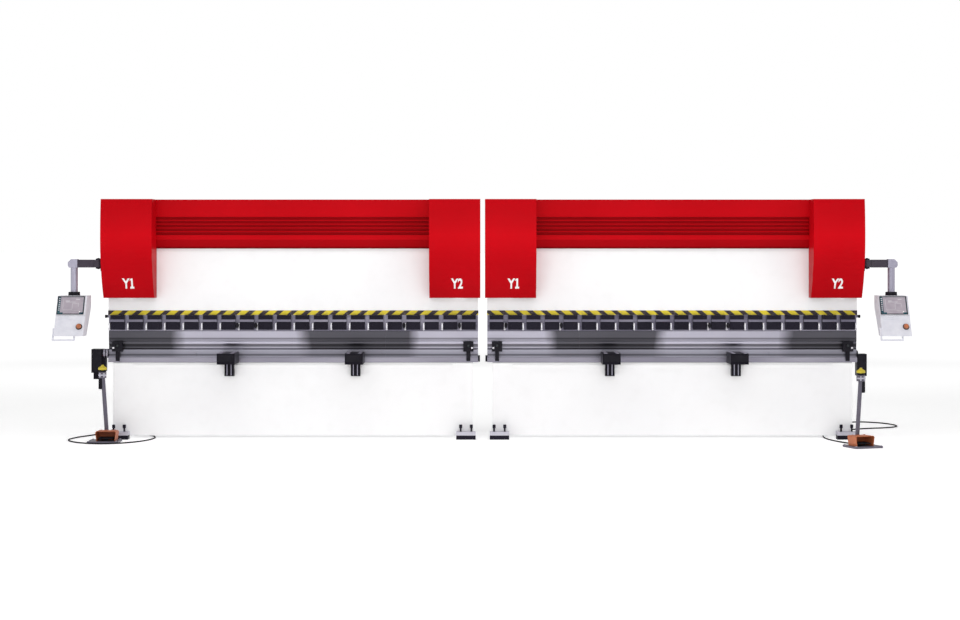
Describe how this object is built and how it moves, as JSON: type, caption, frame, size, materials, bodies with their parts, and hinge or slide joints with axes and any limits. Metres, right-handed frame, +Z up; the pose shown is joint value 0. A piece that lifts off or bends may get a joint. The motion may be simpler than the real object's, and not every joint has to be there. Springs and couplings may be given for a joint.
{
  "type": "tandem press brake",
  "caption": "Tandem hydraulic press brake: two mirrored machines with ram, clamps, punch and die, sheet supports, back gauge, swinging control pendants and free-standing foot pedals.",
  "frame": {"origin": "on the floor, on the plane midway between the two machines and midway between the front pedal and the cabinets at the rear", "axes": "+X along the bending line to the right, +Y from the operator to the rear, +Z up"},
  "size_m": [9.3418, 2.8973, 2.585],
  "materials": {
    "white_paint": "satin powder coat",
    "red_paint": "satin powder coat",
    "dark_paint": "satin",
    "grey_paint": "satin",
    "bright_steel": "ground",
    "blackened_steel": "blackened",
    "chromed": "polished",
    "anodised": "satin anodised",
    "orange_paint": "satin",
    "pendant_plastic": "fine texture",
    "black_plastic": "fine texture",
    "yellow_plastic": "semi gloss",
    "knob_plastic": "semi gloss",
    "cable_rubber": "matte"
  },
  "bodies": {
    "frame": {"side_frames": "white_paint", "beds": "white_paint", "left_cylinder_covers": "red_paint", "right_cylinder_covers": "red_paint", "beam_covers": "red_paint", "cylinders": "dark_paint", "valve_blocks": "bright_steel", "oil_tanks": "white_paint", "pump_motors": "grey_paint", "ram_guides": "bright_steel", "cabinets": "white_paint", "door_hinges": "bright_steel", "feet": "anodised", "levelling_bolts": "blackened_steel", "die_rails": "bright_steel", "dies": "bright_steel", "crowning_drives": "dark_paint", "support_rails": "white_paint", "gauge_rails": "bright_steel", "light_guards": "black_plastic", "pendant_brackets": "dark_paint", "pedal_bases": "grey_paint", "pedal_poles": "grey_paint", "pedal_hoods": "orange_paint", "left_pedal_cable": "cable_rubber", "right_pedal_cable": "cable_rubber"},
    "left_ram_body": {"left_ram": "white_paint", "left_piston_rods": "chromed", "left_tool_holder": "bright_steel", "left_clamps": "blackened_steel", "left_punch": "bright_steel"},
    "left_clamp_levers_body": {"left_clamp_levers": "bright_steel"},
    "left_outer_support_body": {"left_outer_support": "dark_paint"},
    "left_inner_support_body": {"left_inner_support": "dark_paint"},
    "left_gauge_beam_body": {"left_gauge_beam": "anodised"},
    "left_outer_finger_body": {"left_outer_finger": "anodised"},
    "left_inner_finger_body": {"left_inner_finger": "anodised"},
    "left_cabinet_door_body": {"left_cabinet_door": "white_paint"},
    "left_pendant_arm_body": {"left_pendant_arm": "anodised"},
    "left_pendant_housing_body": {"left_pendant_housing": "pendant_plastic"},
    "left_pendant_knob_body": {"left_pendant_knob": "knob_plastic"},
    "left_treadle_body": {"left_treadle": "black_plastic"},
    "left_pole_stop_body": {"left_pole_stop": "yellow_plastic"},
    "right_ram_body": {"right_ram": "white_paint", "right_piston_rods": "chromed", "right_tool_holder": "bright_steel", "right_clamps": "blackened_steel", "right_punch": "bright_steel"},
    "right_clamp_levers_body": {"right_clamp_levers": "bright_steel"},
    "right_outer_support_body": {"right_outer_support": "dark_paint"},
    "right_inner_support_body": {"right_inner_support": "dark_paint"},
    "right_gauge_beam_body": {"right_gauge_beam": "anodised"},
    "right_outer_finger_body": {"right_outer_finger": "anodised"},
    "right_inner_finger_body": {"right_inner_finger": "anodised"},
    "right_cabinet_door_body": {"right_cabinet_door": "white_paint"},
    "right_pendant_arm_body": {"right_pendant_arm": "anodised"},
    "right_pendant_housing_body": {"right_pendant_housing": "pendant_plastic"},
    "right_pendant_knob_body": {"right_pendant_knob": "knob_plastic"},
    "right_treadle_body": {"right_treadle": "black_plastic"},
    "right_pole_stop_body": {"right_pole_stop": "yellow_plastic"}
  },
  "joints": [
    {"name": "left_ram_slide", "type": "slide", "parent": "frame", "child": "left_ram_body", "axis": [0, 0, 1], "range_m": [0, 0.175]},
    {"name": "left_clamp_lever_turn", "type": "hinge", "parent": "left_ram_body", "child": "left_clamp_levers_body", "pos_m": [-2.05, -0.145, 1.236], "axis": [1, 0, 0], "range_deg": [-90, 0]},
    {"name": "left_outer_support_slide", "type": "slide", "parent": "frame", "child": "left_outer_support_body", "axis": [-1, 0, 0], "range_m": [-0.5, 0.95]},
    {"name": "left_inner_support_slide", "type": "slide", "parent": "frame", "child": "left_inner_support_body", "axis": [-1, 0, 0], "range_m": [-0.95, 0.5]},
    {"name": "left_gauge_slide", "type": "slide", "parent": "frame", "child": "left_gauge_beam_body", "axis": [0, 1, 0], "range_m": [-0.12, 0.28]},
    {"name": "left_outer_finger_slide", "type": "slide", "parent": "left_gauge_beam_body", "child": "left_outer_finger_body", "axis": [-1, 0, 0], "range_m": [-0.6, 0.5]},
    {"name": "left_inner_finger_slide", "type": "slide", "parent": "left_gauge_beam_body", "child": "left_inner_finger_body", "axis": [-1, 0, 0], "range_m": [-0.5, 0.6]},
    {"name": "left_cabinet_door_hinge", "type": "hinge", "parent": "frame", "child": "left_cabinet_door_body", "pos_m": [-4.062, 1.178, 1], "axis": [0, 0, -1], "range_deg": [-110, 0]},
    {"name": "left_pendant_arm_swing", "type": "hinge", "parent": "frame", "child": "left_pendant_arm_body", "pos_m": [-4.12, -0.33, 1.895], "axis": [0, 0, -1], "range_deg": [-40, 30]},
    {"name": "left_pendant_turn", "type": "hinge", "parent": "left_pendant_arm_body", "child": "left_pendant_housing_body", "pos_m": [-4.38, -0.33, 1.552], "axis": [0, 0, -1], "range_deg": [-60, 60]},
    {"name": "left_pendant_stop_press", "type": "slide", "parent": "left_pendant_housing_body", "child": "left_pendant_knob_body", "axis": [0, 0.8982, -0.4395], "range_m": [0, 0.006], "stiffness_N_per_m": 800, "springref_m": -0.003},
    {"name": "left_treadle_press", "type": "hinge", "parent": "frame", "child": "left_treadle_body", "pos_m": [-3.985, -0.482, 0.046], "axis": [1, 0, 0], "range_deg": [0, 8], "stiffness_Nm_per_rad": 20, "springref_deg": -8.59},
    {"name": "left_pole_stop_press", "type": "slide", "parent": "frame", "child": "left_pole_stop_body", "axis": [0, 0, -1], "range_m": [0, 0.006], "stiffness_N_per_m": 1500, "springref_m": -0.005},
    {"name": "right_ram_slide", "type": "slide", "parent": "frame", "child": "right_ram_body", "axis": [0, 0, 1], "range_m": [0, 0.175]},
    {"name": "right_clamp_lever_turn", "type": "hinge", "parent": "right_ram_body", "child": "right_clamp_levers_body", "pos_m": [2.05, -0.145, 1.236], "axis": [1, 0, 0], "range_deg": [-90, 0]},
    {"name": "right_outer_support_slide", "type": "slide", "parent": "frame", "child": "right_outer_support_body", "axis": [1, 0, 0], "range_m": [-0.5, 0.95]},
    {"name": "right_inner_support_slide", "type": "slide", "parent": "frame", "child": "right_inner_support_body", "axis": [1, 0, 0], "range_m": [-0.95, 0.5]},
    {"name": "right_gauge_slide", "type": "slide", "parent": "frame", "child": "right_gauge_beam_body", "axis": [0, 1, 0], "range_m": [-0.12, 0.28]},
    {"name": "right_outer_finger_slide", "type": "slide", "parent": "right_gauge_beam_body", "child": "right_outer_finger_body", "axis": [1, 0, 0], "range_m": [-0.6, 0.5]},
    {"name": "right_inner_finger_slide", "type": "slide", "parent": "right_gauge_beam_body", "child": "right_inner_finger_body", "axis": [1, 0, 0], "range_m": [-0.5, 0.6]},
    {"name": "right_cabinet_door_hinge", "type": "hinge", "parent": "frame", "child": "right_cabinet_door_body", "pos_m": [4.062, 1.178, 1], "axis": [0, 0, 1], "range_deg": [-110, 0]},
    {"name": "right_pendant_arm_swing", "type": "hinge", "parent": "frame", "child": "right_pendant_arm_body", "pos_m": [4.12, -0.33, 1.895], "axis": [0, 0, 1], "range_deg": [-40, 30]},
    {"name": "right_pendant_turn", "type": "hinge", "parent": "right_pendant_arm_body", "child": "right_pendant_housing_body", "pos_m": [4.38, -0.33, 1.552], "axis": [0, 0, 1], "range_deg": [-60, 60]},
    {"name": "right_pendant_stop_press", "type": "slide", "parent": "right_pendant_housing_body", "child": "right_pendant_knob_body", "axis": [0, 0.8982, -0.4395], "range_m": [0, 0.006], "stiffness_N_per_m": 800, "springref_m": -0.003},
    {"name": "right_treadle_press", "type": "hinge", "parent": "frame", "child": "right_treadle_body", "pos_m": [3.88771, -0.99228, 0.046], "axis": [0.9397, 0.342, 0], "range_deg": [0, 8], "stiffness_Nm_per_rad": 20, "springref_deg": -8.59},
    {"name": "right_pole_stop_press", "type": "slide", "parent": "frame", "child": "right_pole_stop_body", "axis": [0, 0, -1], "range_m": [0, 0.006], "stiffness_N_per_m": 1500, "springref_m": -0.005}
  ]
}
